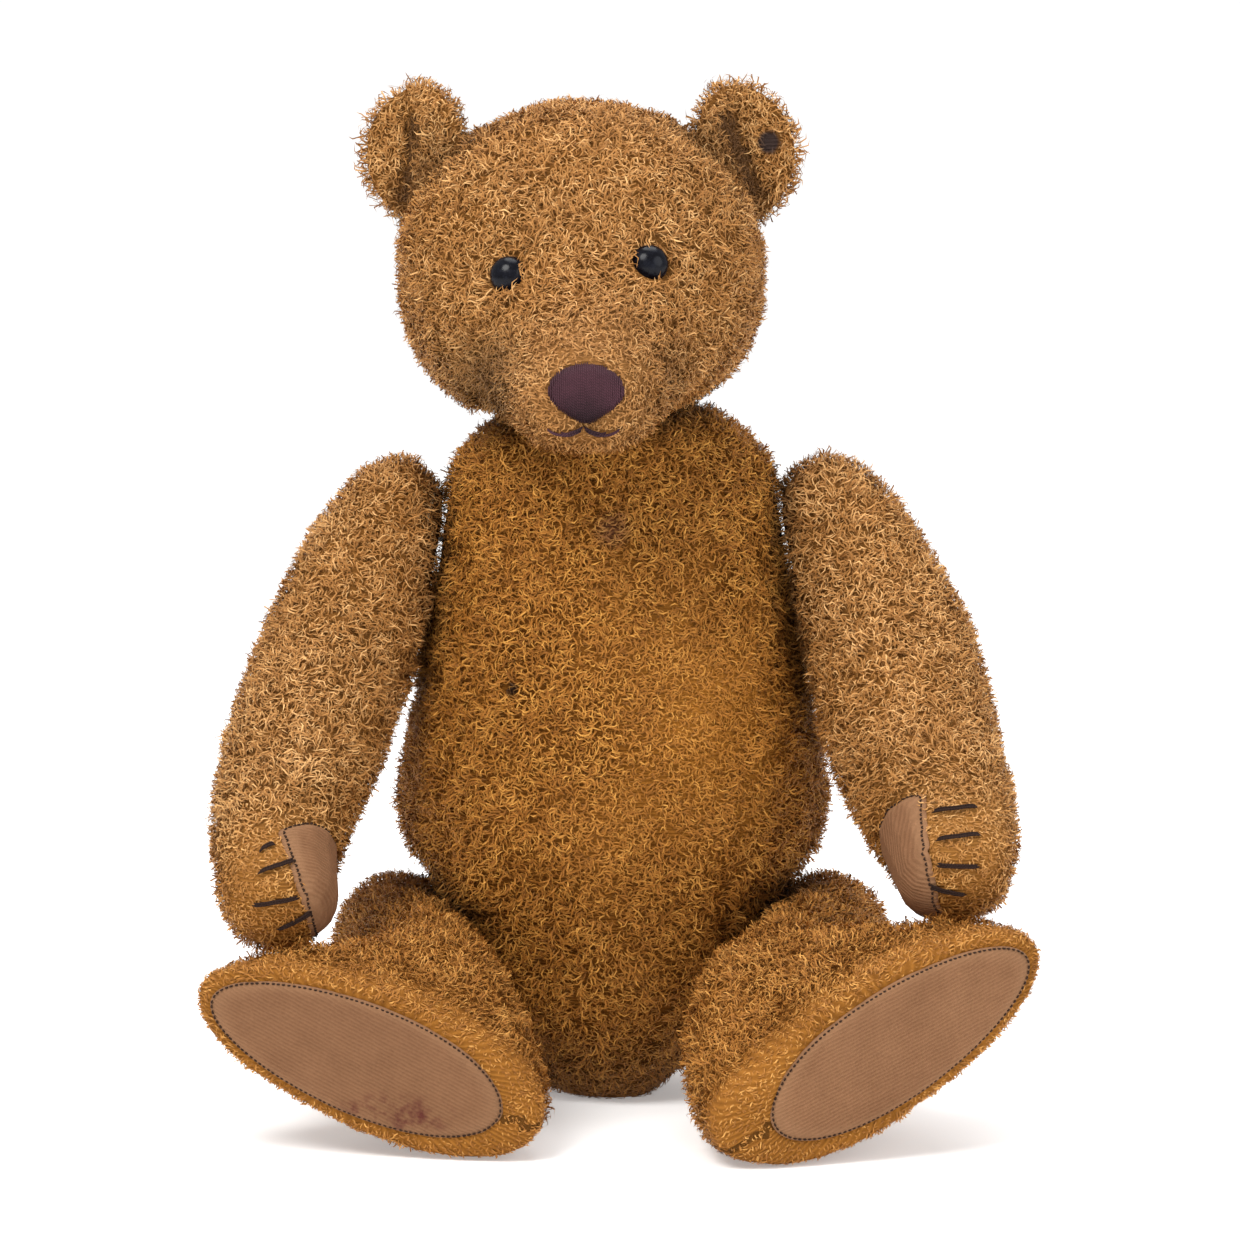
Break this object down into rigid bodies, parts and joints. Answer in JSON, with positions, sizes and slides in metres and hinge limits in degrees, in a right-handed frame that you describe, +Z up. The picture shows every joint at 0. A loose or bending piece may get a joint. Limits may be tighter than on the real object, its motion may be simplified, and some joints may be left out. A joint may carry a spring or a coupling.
{
  "type": "jointed teddy bear",
  "caption": "Seated worn mohair teddy bear with disc-jointed neck, shoulders and hips, felt pads, button eyes and a stitched nose.",
  "frame": {"origin": "middle of the flat seat, on the surface that the bear sits on", "axes": "+Z up, -Y the way the bear faces, +X the bear's left"},
  "size_m": [0.2194, 0.1855, 0.2734],
  "materials": {
    "mohair": "worn curly golden-brown pile over a darker woven back",
    "felt": "matte pinkish-tan felt, rubbed",
    "eye_button": "polished black boot button",
    "nose_thread": "dark purple-brown satin stitch",
    "claw_thread": "dark brown thread",
    "card": "pressed brown card",
    "steel": "dull steel wire and plate"
  },
  "bodies": {
    "torso": {"torso": "mohair", "neck_body_disc": "card", "neck_body_washer": "steel", "neck_pin": "steel", "left_shoulder_body_disc": "card", "left_shoulder_body_washer": "steel", "left_shoulder_pin": "steel", "right_shoulder_body_disc": "card", "right_shoulder_body_washer": "steel", "right_shoulder_pin": "steel", "left_hip_body_disc": "card", "left_hip_body_washer": "steel", "left_hip_pin": "steel", "right_hip_body_disc": "card", "right_hip_body_washer": "steel", "right_hip_pin": "steel"},
    "head": {"head": "mohair", "nose": "nose_thread", "left_ear": "mohair", "left_eye": "eye_button", "left_eye_loop": "steel", "mouth_left": "nose_thread", "right_ear": "mohair", "right_eye": "eye_button", "right_eye_loop": "steel", "mouth_right": "nose_thread", "neck_head_disc": "card", "neck_head_washer": "steel"},
    "left_arm": {"left_arm": "mohair", "left_paw_pad": "felt", "left_claw_1": "claw_thread", "left_claw_2": "claw_thread", "left_claw_3": "claw_thread", "left_claw_4": "claw_thread", "left_shoulder_arm_disc": "card", "left_shoulder_arm_washer": "steel"},
    "right_arm": {"right_arm": "mohair", "right_paw_pad": "felt", "right_claw_1": "claw_thread", "right_claw_2": "claw_thread", "right_claw_3": "claw_thread", "right_claw_4": "claw_thread", "right_shoulder_arm_disc": "card", "right_shoulder_arm_washer": "steel"},
    "left_leg": {"left_leg": "mohair", "left_foot_pad": "felt", "left_hip_leg_disc": "card", "left_hip_leg_washer": "steel"},
    "right_leg": {"right_leg": "mohair", "right_foot_pad": "felt", "right_hip_leg_disc": "card", "right_hip_leg_washer": "steel"}
  },
  "joints": [
    {"name": "neck", "type": "hinge", "parent": "torso", "child": "head", "pos_m": [-0.005, 0.002, 0.1866], "axis": [0, 0, 1], "continuous": true},
    {"name": "left_shoulder", "type": "hinge", "parent": "torso", "child": "left_arm", "pos_m": [0.0468, 0.004, 0.15], "axis": [-0.9799, 0, -0.1994], "range_deg": [0, 90]},
    {"name": "right_shoulder", "type": "hinge", "parent": "torso", "child": "right_arm", "pos_m": [-0.0468, 0.004, 0.15], "axis": [-0.9799, 0, 0.1994], "range_deg": [0, 90]},
    {"name": "left_hip", "type": "hinge", "parent": "torso", "child": "left_leg", "pos_m": [0.0425, 0.002, 0.039], "axis": [0.9848, 0, -0.1736], "range_deg": [0, 90]},
    {"name": "right_hip", "type": "hinge", "parent": "torso", "child": "right_leg", "pos_m": [-0.0425, 0.002, 0.039], "axis": [0.9848, 0, 0.1736], "range_deg": [0, 90]}
  ]
}
